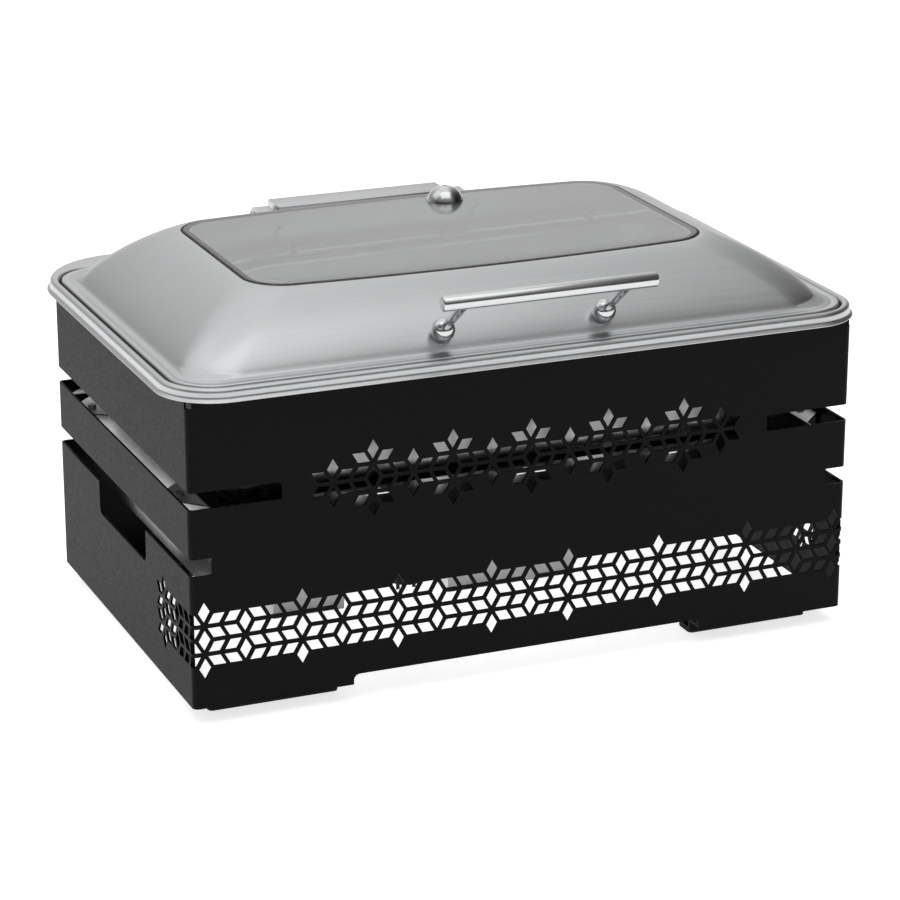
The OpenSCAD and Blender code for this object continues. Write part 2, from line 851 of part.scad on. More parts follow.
// Corner-rounded outline whose long sides bow outward; always the same number of points
function arc(cx, cy, r, start) = [for (i = [0 : 8]) let (a = start + i * 11.25)
    [cx + r * cos(a), cy + r * sin(a)]];
function bowed(x0, y0, half, bow, dir) = [for (i = [1 : 7]) let (x = dir * half * (1 - i / 4))
    [x, dir * (y0 + bow * (1 - pow(x / half, 2)))]];
function outline(hx, hy, r, bow, shift) = [for (p = concat(
    arc(hx - r, hy - r, r, 0), bowed(0, hy, hx - r, bow, 1),
    arc(r - hx, hy - r, r, 90), arc(r - hx, r - hy, r, 180), bowed(0, hy, hx - r, bow, -1),
    arc(hx - r, r - hy, r, 270))) [p[0], p[1] + shift]];
function level(points, z) = [for (p = points) [p[0], p[1], z]];

// Height of the lid wall above its flange where it has come a share p of its way to the window
function wall_rise(p) = lid_rise * pow(1 - pow(1 - p, lid_fullness), 1 / lid_fullness);
function wall_ring(p, inset) = level(outline(
    wall_x + (window_x - wall_x) * p - inset,
    wall_y + (window_y - wall_y) * p - inset,
    wall_r + (window_r - wall_r) * p - inset,
    window_bow * p, window_shift * p), flange_top + wall_rise(p) - inset);
function plain_ring(hx, hy, r, z) = level(outline(hx, hy, r, 0, 0), z);
function window_ring(inset, z) = level(outline(
    window_x - inset, window_y - inset, window_r - inset, window_bow, window_shift), z);

// Closes a stack of equal rings, the last joined to the first, into one solid
module ring_solid(rings) {
    n = len(rings[0]);
    m = len(rings);
    polyhedron(
        points = [for (ring = rings) each ring],
        faces = [for (j = [0 : m - 1], i = [0 : n - 1]) each [
            [j * n + i, ((j + 1) % m) * n + i, ((j + 1) % m) * n + (i + 1) % n],
            [j * n + i, ((j + 1) % m) * n + (i + 1) % n, j * n + (i + 1) % n]]]);
}

lid_rings = concat(
    [plain_ring(flange_x, flange_y, flange_r, ledge_top + 1.4),
     plain_ring(flange_x, flange_y, flange_r, flange_top - 1),
     plain_ring(flange_x - 1, flange_y - 1, flange_r - 1, flange_top)],
    [for (i = [0 : wall_steps]) wall_ring(i / wall_steps, 0)],
    [window_ring(0.8, window_z),
     window_ring(0.8, glass_z - 0.8),
     window_ring(9, glass_z - 0.8),
     window_ring(9, glass_z - 2)],
    [for (i = [wall_steps - 2 : -1 : 0]) wall_ring(i / wall_steps, 1.2)],
    [plain_ring(flange_x - 1.2, flange_y - 1.2, flange_r - 1.2, flange_top - 1.2),
     plain_ring(flange_x - 1.2, flange_y - 1.2, flange_r - 1.2, ledge_top + 1.4)]);

// Places a child at a handle boss, its Z pointing straight out of the lid's front wall
module at_boss() {
    for (side = [-1, 1]) translate([side * boss_x, boss_y, boss_z]) rotate([boss_tilt, 0, 0]) children();
}

// Rivet places on the rear wall, Z pointing out of it
module at_rivets() {
    for (side = [-1, 1]) translate([side * (arm_in + arm_w / 2), 0, 0])
        for (spot = [[159.2, 288.2], [153.2, 296.6]])
            translate([0, spot[0], spot[1]]) rotate([-54, 0, 0]) children();
}

module lid_shell() {
    color([0.74, 0.75, 0.76]) difference() {
        ring_solid(lid_rings);
        at_boss() translate([0, 0, -25]) cylinder(h = 30, r = 3.1);
        at_rivets() translate([0, 0, -10]) cylinder(h = 20, r = 2.05);
    }
}

module window_plate(inset, z, h) {
    translate([0, 0, z]) linear_extrude(h) polygon(outline(
        window_x - inset, window_y - inset, window_r - inset, window_bow, window_shift));
}

module lid_glass() {
    color([0.75, 0.85, 0.88, 0.35]) difference() {
        window_plate(2.4, glass_z, glass_t);
        translate([vent_x, vent_y, glass_z - 1]) cylinder(h = glass_t + 2, r = 3.1);
    }
}

module window_gasket() {
    color([0.1, 0.1, 0.1]) difference() {
        window_plate(0.9, glass_z - 0.8, glass_t + 0.8);
        window_plate(2.4, glass_z, glass_t + 1);
        window_plate(8, glass_z - 2, glass_t);
    }
}

// Domed steam vent on the glass, with its stud
module vent_cap() {
    curve = (vent_r * vent_r + vent_h * vent_h) / (2 * vent_h);
    color([0.8, 0.81, 0.82]) translate([vent_x, vent_y, glass_z + glass_t]) difference() {
        union() {
            intersection() {
                translate([0, 0, vent_h - curve]) sphere(r = curve);
                cylinder(h = vent_h + 1, r = vent_r);
            }
            translate([0, 0, -8]) cylinder(h = 9, r = 3);
        }
        translate([0, 0, vent_h - 3]) cylinder(h = 5, r = 1.5);
    }
}

module vent_nut() {
    color([0.6, 0.6, 0.62]) translate([vent_x, vent_y, glass_z - 4]) nut(6, 3.05, 4);
}

module lid_pads() {
    color([0.2, 0.2, 0.2])
        both_sides() both_ends() for (x = [70, 210])
            translate([x, flange_y - 6.5, ledge_top + 0.3])
                cylinder(h = flange_top - steel - ledge_top - 0.3, r = 3.5);
}

// ---------- hinge ----------

module hinge_arms() {
    color([0.76, 0.77, 0.78]) both_sides() difference() {
        sideways(arm_in, arm_w) difference() {
            union() {
                translate([axis_y, axis_z]) circle(arm_r);
                polygon([[axis_y, axis_z + arm_r], [152.5, 303.5], [150.8, 301.3], [163.4, 283.9],
                         [170, 281], [axis_y, axis_z - arm_r]]);
            }
            polygon([[axis_y - 20, axis_z + 4], [160, 297], [165.5, 289.5], [axis_y - 20, axis_z - 4]]);
        }
        bar_x(arm_in - 1, arm_in + arm_w + 1, axis_y, axis_z, shaft_r);
        at_rivets() translate([0, 0, -10]) cylinder(h = 20, r = 2.05);
    }
}

module arm_rivets() {
    color([0.7, 0.7, 0.72]) at_rivets() translate([0, 0, -6]) {
        cylinder(h = 9.4, r = 2);
        translate([0, 0, 1.2]) mirror([0, 0, 1]) cylinder(h = 1.2, r = 3.5);
    }
}

module hinge_shaft() {
    color([0.7, 0.71, 0.72]) bar_x(-arm_in - arm_w, arm_in + arm_w, axis_y, axis_z, shaft_r);
}

module shaft_caps() {
    color([0.76, 0.77, 0.78]) both_sides()
        translate([arm_in + arm_w, axis_y, axis_z]) rotate([0, 90, 0]) {
            cylinder(h = 2, r = 8);
            translate([0, 0, 2]) cylinder(h = 1.5, r1 = 8, r2 = 6);
        }
}

// Plate on the shelf behind the lid
module hinge_base() {
    color([0.70, 0.71, 0.72]) difference() {
        translate([-base_x, base_y, flange_top + 0.1])
            cube([2 * base_x, house_y1 - base_y, base_top - flange_top - 0.1]);
        hinge_screw_places() translate([0, 0, -1]) cylinder(h = 4, r = m4_hole);
    }
}

module hinge_housing() {
    t = 1.5;
    color([0.73, 0.74, 0.75]) difference() {
        translate([-house_x, house_y0, base_top])
            cube([2 * house_x, house_y1 - house_y0, house_top - base_top]);
        translate([t - house_x, house_y0 + t, base_top - 1])
            cube([2 * (house_x - t), house_y1 - house_y0 - 2 * t, house_top - base_top + 1 - t]);
        bar_x(-house_x - 1, house_x + 1, axis_y, axis_z, 8);
    }
}

module hinge_bushes() {
    color([0.8, 0.68, 0.4]) both_sides() difference() {
        union() {
            bar_x(house_x - 6, house_x + 0.5, axis_y, axis_z, 8);
            bar_x(house_x - 3, house_x - 1.5, axis_y, axis_z, 9.5);
        }
        bar_x(house_x - 8, house_x + 4, axis_y, axis_z, shaft_r + 0.05);
    }
}

module hinge_dampers() {
    color([0.25, 0.25, 0.27]) both_sides() difference() {
        union() {
            bar_x(14, 68, axis_y, axis_z, 10.5);
            translate([22, axis_y - 8, base_top]) cube([38, 16, axis_z - base_top]);
        }
        bar_x(10, 72, axis_y, axis_z, shaft_r + 0.05);
    }
}

module hinge_screws() {
    color([0.6, 0.6, 0.62]) hinge_screw_places() translate([0, 0, base_top - flange_top]) screw(6);
}

// ---------- handle ----------

module handle_bar() {
    color([0.8, 0.81, 0.82]) translate([-handle_len / 2, bar_y, bar_z]) rotate([90, 0, 90]) rotate_extrude()
        polygon([[0, 0], [bar_r - 1, 0], [bar_r, 1], [bar_r, handle_len - 1], [bar_r - 1, handle_len],
                 [0, handle_len]]);
}

// Straight posts from the balls up to the bar
module handle_posts() {
    run = bar_y - boss_y;
    rise = bar_z - boss_z;
    length = sqrt(run * run + rise * rise);
    color([0.8, 0.81, 0.82]) difference() {
        for (side = [-1, 1]) translate([side * boss_x, boss_y, boss_z]) rotate([atan2(-run, rise), 0, 0])
            cylinder(h = length, r = post_r);
        for (side = [-1, 1]) translate([side * boss_x, boss_y, boss_z]) sphere(r = boss_r);
        bar_x(-handle_len / 2, handle_len / 2, bar_y, bar_z, bar_r);
    }
}

// Direction of the set screw in each ball: forward and up, turned to the left
module at_set_screw() {
    for (side = [-1, 1]) translate([side * boss_x, boss_y, boss_z]) rotate([62, 0, -38]) children();
}

module handle_bosses() {
    color([0.84, 0.85, 0.86]) difference() {
        for (side = [-1, 1]) translate([side * boss_x, boss_y, boss_z]) sphere(r = boss_r);
        at_boss() translate([-12, -12, -boss_base - 20]) cube([24, 24, 20]);
        at_boss() translate([0, 0, -boss_base - 1]) cylinder(h = 5, r = 3);
        at_set_screw() translate([0, 0, 4]) cylinder(h = 10, r = 2.6);
    }
}

module boss_screws() {
    color([0.5, 0.5, 0.52]) at_set_screw() difference() {
        translate([0, 0, 4]) cylinder(h = 5, r = 2.6);
        translate([0, 0, 7]) cylinder(h = 4, r = 1.4, $fn = 6);
    }
}

module boss_studs() {
    color([0.6, 0.6, 0.62]) at_boss() {
        translate([0, 0, -15]) cylinder(h = 19 - boss_base, r = 3);
        translate([0, 0, -12]) nut(5.5, 3.05, 3);
    }
}

front_panel();
rear_panel();
left_top_band();
right_top_band();
left_middle_band();
right_middle_band();
left_lower_panel();
right_lower_panel();
top_lips();
corner_angles();
floor_lips();
feet();
foot_pads();
heater_tray();
tray_brackets();
tray_screws();
insulation_board();
reflector_sheet();
heating_element();
element_clips();
junction_box();
thermal_cutout();
sensor_housing();
wiring_loom();
control_box();
control_box_screws();
thermostat_body();
lamp_body();
lamp_lens();
switch_frame();
inlet_socket();
inlet_pins();
thermostat_knob();
thermostat_spindle();
switch_rocker();
water_pan();
hinge_base();
hinge_housing();
hinge_bushes();
hinge_dampers();
hinge_screws();
food_pan();
lid_shell();
lid_glass();
window_gasket();
vent_cap();
vent_nut();
hinge_arms();
arm_rivets();
hinge_shaft();
shaft_caps();
handle_bar();
handle_posts();
handle_bosses();
boss_screws();
boss_studs();
lid_pads();
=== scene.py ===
"""Electric buffet server: finishes, pressed steel, glass, fittings, studio and camera.

Sizes are in millimetres, but in the studio section they are in metres.
"""
import json
import math

import bmesh
import bpy
from mathutils import Matrix, Vector


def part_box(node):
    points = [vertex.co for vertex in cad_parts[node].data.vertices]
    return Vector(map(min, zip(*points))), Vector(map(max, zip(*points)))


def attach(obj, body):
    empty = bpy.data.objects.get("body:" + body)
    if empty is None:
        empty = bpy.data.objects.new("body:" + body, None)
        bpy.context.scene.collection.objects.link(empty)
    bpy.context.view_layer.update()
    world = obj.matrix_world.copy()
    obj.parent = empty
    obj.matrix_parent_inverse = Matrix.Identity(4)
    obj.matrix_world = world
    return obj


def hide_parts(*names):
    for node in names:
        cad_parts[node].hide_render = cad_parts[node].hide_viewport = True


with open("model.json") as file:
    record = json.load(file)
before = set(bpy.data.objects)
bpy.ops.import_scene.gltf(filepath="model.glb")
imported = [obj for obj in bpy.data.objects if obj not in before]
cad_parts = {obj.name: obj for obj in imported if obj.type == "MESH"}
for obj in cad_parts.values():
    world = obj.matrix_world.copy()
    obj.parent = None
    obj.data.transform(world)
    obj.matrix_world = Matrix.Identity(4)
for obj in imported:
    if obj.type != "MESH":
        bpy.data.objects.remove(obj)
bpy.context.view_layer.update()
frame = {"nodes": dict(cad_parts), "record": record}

MM = 0.001
NODES = frame["nodes"]


def extent(node):
    """Lowest and highest corner of a CAD node, in millimetres."""
    low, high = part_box(node)
    return Vector(low) / MM, Vector(high) / MM


def middle(node):
    low, high = extent(node)
    return (low + high) / 2


# ---------- levels and outlines that several pieces share ----------

PAN_LOW, PAN_HIGH = extent("water_pan")
LID_LOW, LID_HIGH = extent("lid_shell")
GLASS_LOW, GLASS_HIGH = extent("lid_glass")
FOOD_LOW, FOOD_HIGH = extent("food_pan")

STEEL = 1.2  # stainless sheet of the lid and the water pan
THIN = 1.0  # sheet of the food pan
FLANGE_TOP = PAN_HIGH.z  # the lid's flange lies level with the crest of the rim
FLANGE_WIDTH = 12.0  # flat band round the foot of the lid
FLANGE_CORNER = 36.0
WALL_CORNER = 40.0  # corner radius where the lid's wall leaves the flange
WALL_FULLNESS = 1.3  # 1 is a flat slope, 2 is a quarter round
WINDOW_GAP = 2.4  # from the steel of the lid to the edge of the glass
WINDOW_CORNER = 32.0
WINDOW_BOW = 10.0  # how far the window's long sides stand out at their middle

CORNER_STEPS = 14
SIDE_STEPS = 20
AROUND = 4 * (CORNER_STEPS + SIDE_STEPS)
CORNER_SIGNS = ((1, 1), (-1, 1), (-1, -1), (1, -1))


# ---------- mesh helpers ----------


def on_outline(step, half_x, half_y, radius, bow=0.0, shift=0.0, rear_radius=None):
    """Point number step on a rounded rectangle. Its long sides may bow, its rear corners may be larger."""
    quarter, along = divmod(step % AROUND, CORNER_STEPS + SIDE_STEPS)
    turn = math.radians(90 * (quarter + min(along / CORNER_STEPS, 1)))
    facing = Vector((math.cos(turn), math.sin(turn)))

    def on_corner(number):
        sx, sy = CORNER_SIGNS[number % 4]
        reach = rear_radius if rear_radius and sy > 0 else radius
        return Vector((sx * (half_x - reach), sy * (half_y - reach))) + reach * facing

    point = on_corner(quarter)
    if along > CORNER_STEPS:
        point = point.lerp(on_corner(quarter + 1), (along - CORNER_STEPS) / SIDE_STEPS)
    if bow:
        outward = facing.y if along <= CORNER_STEPS or quarter % 2 == 0 else 0.0
        point.y += outward * bow * (1 - (point.x / half_x) ** 2)
    return point.x, point.y + shift


def wrapped(rings, closed=False):
    """Skin over a stack of rings, each a height and an outline. A closed stack ends where it began."""
    rings = list(rings)
    if closed:
        rings.append(rings[0])
    bm = bmesh.new()
    rows = len(rings) - 1
    bmesh.ops.create_grid(bm, x_segments=AROUND, y_segments=rows, size=0.5)
    for vert in bm.verts:
        ring = rings[round((vert.co.y + 0.5) * rows)]
        x, y = on_outline(round((vert.co.x + 0.5) * AROUND), *ring[1:])
        vert.co = (x, y, ring[0])
    bmesh.ops.remove_doubles(bm, verts=bm.verts, dist=0.0005)
    return bm


def capped(bm):
    """Closes the open ends of a skin with flat faces."""
    open_edges = [edge for edge in bm.edges if edge.is_boundary]
    bmesh.ops.edgeloop_fill(bm, edges=open_edges)
    return bm


def turned(profile, steps=64):
    """Solid of revolution about Z. The profile's points are (radius, height), from bottom to top."""
    bm = bmesh.new()
    verts = [bm.verts.new((radius, 0, height)) for radius, height in profile]
    edges = [bm.edges.new(pair) for pair in zip(verts, verts[1:])]
    bmesh.ops.spin(
        bm, geom=verts + edges, cent=(0, 0, 0), axis=(0, 0, 1), angle=math.tau, steps=steps, use_merge=True
    )
    bmesh.ops.remove_doubles(bm, verts=bm.verts, dist=0.0005)
    return bm


def arc(cx, cy, radius, start, end, steps):
    """Points on an arc, angles in degrees."""
    angles = [math.radians(start + (end - start) * i / steps) for i in range(steps + 1)]
    return [(cx + radius * math.cos(a), cy + radius * math.sin(a)) for a in angles]


def bevelled(bm, width, angle=35, segments=2):
    """Breaks the sharp edges of a mesh."""
    sharp = [e for e in bm.edges if e.is_manifold and e.calc_face_angle(0) > math.radians(angle)]
    bmesh.ops.bevel(
        bm, geom=sharp, offset=width, offset_type="OFFSET", segments=segments, profile=0.5,
        affect="EDGES", material=-1, clamp_overlap=True,
    )
    return bm


def placed(bm, matrix):
    bmesh.ops.transform(bm, matrix=matrix, verts=bm.verts)
    return bm


def made(name, bm, material, node, body, smooth_angle=40):
    """Turns a mesh in millimetres into a finished piece that stands for a CAD node."""
    bmesh.ops.recalc_face_normals(bm, faces=bm.faces)
    bmesh.ops.scale(bm, vec=(MM, MM, MM), verts=bm.verts)
    for face in bm.faces:
        face.smooth = True
    for edge in bm.edges:
        edge.smooth = edge.calc_face_angle(0) < math.radians(smooth_angle)
    mesh = bpy.data.meshes.new(name)
    bm.to_mesh(mesh)
    bm.free()
    mesh.materials.append(material)
    piece = bpy.data.objects.new(name, mesh)
    bpy.context.scene.collection.objects.link(piece)
    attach(piece, body)
    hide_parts(node)
    return piece


# ---------- finishes ----------


def linear(hex_colour):
    """sRGB hex to linear RGBA."""
    parts = [int(hex_colour[i : i + 2], 16) / 255 for i in (1, 3, 5)]
    return [c / 12.92 if c <= 0.04045 else ((c + 0.055) / 1.055) ** 2.4 for c in parts] + [1.0]


def add(tree, kind, settings=None, **links):
    """Adds a node. Settings go on its properties or inputs, links to the input named or numbered (i0)."""
    node = tree.nodes.new(kind)
    for key, value in (settings or {}).items():
        if isinstance(key, str) and hasattr(node, key) and key not in node.inputs:
            setattr(node, key, value)
        else:
            node.inputs[key].default_value = value
    for key, socket in links.items():
        numbered = key[0] == "i" and key[1:].isdigit()
        place = int(key[1:]) if numbered else key.replace("_", " ")
        tree.links.new(node.inputs[place], socket)
    return node


def finish(name, **sockets):
    """A material with one Principled shader whose constants are set on its own sockets."""
    material = bpy.data.materials.new(name)
    material.use_nodes = True
    tree = material.node_tree
    shader = tree.nodes["Principled BSDF"]
    for key, value in sockets.items():
        shader.inputs[key.replace("_", " ")].default_value = value
    return material, tree, shader


def grain(tree, size_mm, stretch=(1, 1, 1), detail=3.0, roughness=0.5):
    """Noise in object space, its grain size_mm across and longer along the axes where stretch is over 1."""
    place = add(tree, "ShaderNodeTexCoord")
    scale = [1 / (size_mm * MM * s) for s in stretch]
    mapping = add(tree, "ShaderNodeMapping", {"Scale": scale}, Vector=place.outputs["Object"])
    noise = add(
        tree, "ShaderNodeTexNoise", {"Scale": 1.0, "Detail": detail, "Roughness": roughness},
        Vector=mapping.outputs["Vector"],
    )
    return noise.outputs["Fac"]


def between(tree, factor, low, high, from_low=0.3, from_high=0.7):
    """Maps a noise to a range of values."""
    return add(
        tree, "ShaderNodeMapRange",
        {"From Min": from_low, "From Max": from_high, "To Min": low, "To Max": high}, Value=factor,
    ).outputs["Result"]


def tinted(tree, factor, dark, light):
    """Mixes two colours by a noise."""
    mix = add(tree, "ShaderNodeMix", {"data_type": "RGBA"})
    mix.inputs[6].default_value = linear(dark)
    mix.inputs[7].default_value = linear(light)
    tree.links.new(mix.inputs["Factor"], factor)
    return mix.outputs[2]


def relief(tree, height, depth_mm, strength=1.0, after=None):
    """Bump of a real depth."""
    bump = add(tree, "ShaderNodeBump", {"Strength": strength, "Distance": depth_mm * MM}, Height=height)
    if after is not None:
        tree.links.new(bump.inputs["Normal"], after)
    return bump.outputs["Normal"]


def black_powder_coat():
    """Polyester powder coat, baked on sheet steel: near black, matt, with a shallow orange peel."""
    material, tree, shader = finish("black_powder_coat", Roughness=0.5, Specular_IOR_Level=0.11)
    peel = grain(tree, 2.2, detail=2.0)  # the real peel is about 1 mm, drawn coarser so that it shows
    cloud = grain(tree, 60, detail=2.0)
    colour = tinted(tree, between(tree, cloud, 0, 1), "#060607", "#09090a")
    tree.links.new(shader.inputs["Base Color"], colour)
    tree.links.new(shader.inputs["Roughness"], between(tree, peel, 0.46, 0.56))
    tree.links.new(shader.inputs["Normal"], relief(tree, peel, 0.05, 0.35))
    return material


def stainless(name, dark, light, rough_low, rough_high, across_mm, depth_mm):
    """Cold rolled 18/10 stainless sheet, brushed along X: long fine scratches that spread the highlights."""
    material, tree, shader = finish(name, Metallic=1.0)
    strokes = grain(tree, across_mm, stretch=(160, 1, 60), detail=4.0, roughness=0.65)
    cloud = grain(tree, 45, stretch=(3, 1, 1), detail=2.0)
    tree.links.new(shader.inputs["Base Color"], tinted(tree, between(tree, strokes, 0, 1), dark, light))
    soft = add(tree, "ShaderNodeMath", {"operation": "MULTIPLY", 1: 0.5}, i0=cloud)
    both = add(tree, "ShaderNodeMath", {"operation": "MULTIPLY_ADD", 1: 0.5}, i0=strokes, i2=soft.outputs[0])
    tree.links.new(shader.inputs["Roughness"], between(tree, both.outputs[0], rough_low, rough_high))
    tree.links.new(shader.inputs["Normal"], relief(tree, strokes, depth_mm))
    return material


def polished_chrome():
    """Chrome plate on turned brass: a soft mirror with faint polishing marks."""
    material, tree, shader = finish("polished_chrome", Metallic=1.0)
    marks = grain(tree, 1.5, stretch=(12, 1, 1), detail=2.0)
    shader.inputs["Base Color"].default_value = linear("#cbcccd")
    tree.links.new(shader.inputs["Roughness"], between(tree, marks, 0.10, 0.18))
    return material


def clear_glass():
    """Toughened soda-lime float glass: clear, a trace green, very slightly dusty."""
    material, tree, shader = finish("clear_glass", Transmission_Weight=0.96, IOR=1.5, Roughness=0.0)
    shader.inputs["Base Color"].default_value = linear("#f8fbfa")
    smears = grain(tree, 70, detail=1.0)
    tree.links.new(shader.inputs["Roughness"], between(tree, smears, 0.0, 0.03, 0.45, 0.8))
    return material


def moulded(name, dark, light, rough_low, rough_high, grit_mm, depth_mm):
    """A moulded or cast surface with a fine even grit."""
    material, tree, shader = finish(name)
    grit = grain(tree, grit_mm, detail=3.0)
    tree.links.new(shader.inputs["Base Color"], tinted(tree, between(tree, grit, 0, 1), dark, light))
    tree.links.new(shader.inputs["Roughness"], between(tree, grit, rough_low, rough_high))
    tree.links.new(shader.inputs["Normal"], relief(tree, grit, depth_mm, 0.5))
    return material


def plated(name, colour, rough_low, rough_high):
    """A plated or plain metal fitting with uneven gloss."""
    material, tree, shader = finish(name, Metallic=1.0)
    patches = grain(tree, 3.0, detail=3.0)
    shader.inputs["Base Color"].default_value = linear(colour)
    tree.links.new(shader.inputs["Roughness"], between(tree, patches, rough_low, rough_high))
    return material


def amber_lens():
    """Tinted polycarbonate of the pilot lamp: glossy, half clear, with moulded ribs."""
    material, tree, shader = finish("amber_lens", Roughness=0.15, IOR=1.58, Transmission_Weight=0.6)
    ribs = grain(tree, 1.2, stretch=(1, 1, 20), detail=1.0)
    tree.links.new(shader.inputs["Base Color"], tinted(tree, ribs, "#c45a12", "#f08a2c"))
    return material


def loom_sleeve():
    """Braided glass-fibre sleeving: matt, pale, with a woven relief."""
    material, tree, shader = finish("loom_sleeve", Roughness=0.85)
    weave = add(
        tree, "ShaderNodeTexVoronoi", {"Scale": 1 / (1.2 * MM)},
        Vector=add(tree, "ShaderNodeTexCoord").outputs["Object"],
    ).outputs["Distance"]
    tree.links.new(shader.inputs["Base Color"], tinted(tree, weave, "#8f8a80", "#d8d3c6"))
    tree.links.new(shader.inputs["Normal"], relief(tree, weave, 0.2, 0.6))
    return material


FINISHES = {
    "black_powder_coat": black_powder_coat(),
    # 18/10 sheet as brushed for the outside of the lid, the pan rim and the hinge cover
    "brushed_stainless": stainless("brushed_stainless", "#bcbdbe", "#c6c7c8", 0.32, 0.40, 0.9, 0.008),
    # 2B mill finish of the food pan and the trays: smoother and a little whiter
    "satin_stainless": stainless("satin_stainless", "#d6d7d8", "#e2e3e4", 0.34, 0.46, 1.6, 0.006),
    "polished_chrome": polished_chrome(),
    "clear_glass": clear_glass(),
    # heat-cured silicone rubber, soft sheen
    "black_silicone": moulded("black_silicone", "#0e0e0e", "#171717", 0.45, 0.6, 0.8, 0.02),
    # EPDM rubber, dusty and matt
    "rubber_feet": moulded("rubber_feet", "#101010", "#1d1d1c", 0.75, 0.9, 1.0, 0.05),
    # glass-filled nylon, fine spark-eroded grain
    "dark_plastic": moulded("dark_plastic", "#131314", "#1c1c1d", 0.4, 0.55, 0.7, 0.03),
    # pressed ceramic fibre board, chalky
    "mineral_board": moulded("mineral_board", "#b8b1a0", "#d9d3c4", 0.85, 0.95, 2.5, 0.3),
    # heater sheath after its first firings, brown grey oxide
    "element_sheath": moulded("element_sheath", "#2c2825", "#4a423b", 0.5, 0.7, 1.4, 0.03),
    "zinc_screws": plated("zinc_screws", "#b9bbbd", 0.25, 0.4),
    "brass_fittings": plated("brass_fittings", "#c9a458", 0.25, 0.4),
    "amber_lens": amber_lens(),
    "loom_sleeve": loom_sleeve(),
}


def dress_cad_nodes():
    """Gives every CAD node the finish of its material slot."""
    for row in frame["record"]["subparts"]:
        mesh = NODES[row["node"]].data
        for i in range(max(1, len(mesh.materials))):
            if i < len(mesh.materials):
                mesh.materials[i] = FINISHES[row["material_slot"]]
            else:
                mesh.materials.append(FINISHES[row["material_slot"]])


# ---------- pans ----------


def water_pan():
    """Deep outer pan: a recess for the lid's flange, a shelf behind it, a rolled rim and a flared lip."""
    rim_x = PAN_HIGH.x
    rim_y = (PAN_HIGH.y - PAN_LOW.y) / 2
    rim_shift = (PAN_HIGH.y + PAN_LOW.y) / 2
    top = PAN_HIGH.z
    ledge = top - 9.55
    base = PAN_LOW.z
    well = (257.0, 155.0, 30.0)  # half width, half depth, corner radius
    recess = (LID_HIGH.x + 1.8, LID_HIGH.y + 2.5, 38.5)  # the same of the step round the lid's flange
    front_corner = 47.35
    rear_corner = 75.35
    foot = 12.0
    roll = 3.475  # radius of the rolled crown
    crest = 6.0  # its middle, inward from the widest point of the rim

    def rim(inset, z):
        return (z, rim_x - inset, rim_y - inset, front_corner - inset, 0, rim_shift, rear_corner - inset)

    def step(outset, z):
        return (z, recess[0] + outset, recess[1] + outset, recess[2] + outset)

    def wall(inset, z):
        return (z, well[0] - inset, well[1] - inset, well[2] - inset)

    inner_foot = arc(foot, base + foot, foot - STEEL, 270, 180, 6)
    outer_foot = arc(foot, base + foot, foot, 180, 270, 6)
    skin = [wall(x, z) for x, z in inner_foot]
    skin += [wall(STEEL, ledge - 3), wall(STEEL - 0.4, ledge - 1.2), wall(STEEL - 1.6, ledge - 0.1)]
    skin += [wall(-2.0, ledge), step(-1.6, ledge), step(-0.5, ledge + 0.5), step(0, ledge + 1.6)]
    skin += [step(roll + x, z) for x, z in arc(0, top - roll, roll, 180, 92, 7)]
    skin += [rim(x, z) for x, z in arc(crest, top - roll, roll, 90, 180, 7)]
    skin += [rim(2.6, top - 6.2), rim(2.4, top - 7.4), rim(1.6, top - 8.4), rim(0.5, top - 9.0)]
    skin += [rim(0, top - 9.6), rim(0.2, top - 10.2), rim(0.9, top - 10.4), rim(2.4, top - 9.6)]
    skin += [rim(3.6, top - 8.6), rim(3.9, top - 4), rim(6.0, top - STEEL)]
    skin += [step(2.4, top - STEEL), step(STEEL, top - 4), step(STEEL, ledge), step(0, ledge - STEEL)]
    skin += [wall(-3.0, ledge - STEEL), wall(0, ledge - 4)]
    skin += [wall(x, z) for x, z in outer_foot]
    bm = capped(wrapped(skin))
    return made(
        "water_pan_pressing", bm, FINISHES["brushed_stainless"], "water_pan", "chafer"
    )


def food_pan():
    """Full-size serving pan: thin, with a stamped flange and well-rounded foot."""
    flange_x, flange_y, top = FOOD_HIGH.x, FOOD_HIGH.y, FOOD_HIGH.z
    base = FOOD_LOW.z
    body = (252.5, 150.0, 28.0)  # half width, half depth, corner radius
    flange_corner = 34.0
    foot = 14.0

    def wall(inset, z):
        return (z, body[0] - inset, body[1] - inset, body[2] - inset)

    def flange(inset, z):
        return (z, flange_x - inset, flange_y - inset, flange_corner - inset)

    skin = [wall(x, z) for x, z in arc(foot, base + foot, foot - THIN, 270, 180, 7)]
    skin += [wall(x, z) for x, z in arc(-2.5, top - 3.5, 3.5, 0, 90, 5)]
    skin += [flange(1.0, top), flange(0.3, top - 0.3), flange(0, top - THIN), flange(0.6, top - THIN)]
    skin += [wall(x, z) for x, z in arc(-2.5, top - 3.5, 2.5, 90, 0, 5)]
    skin += [wall(x, z) for x, z in arc(foot, base + foot, foot, 180, 270, 7)]
    bm = capped(wrapped(skin))
    return made(
        "food_pan_pressing", bm, FINISHES["satin_stainless"], "food_pan", "food_tray"
    )


# ---------- lid ----------


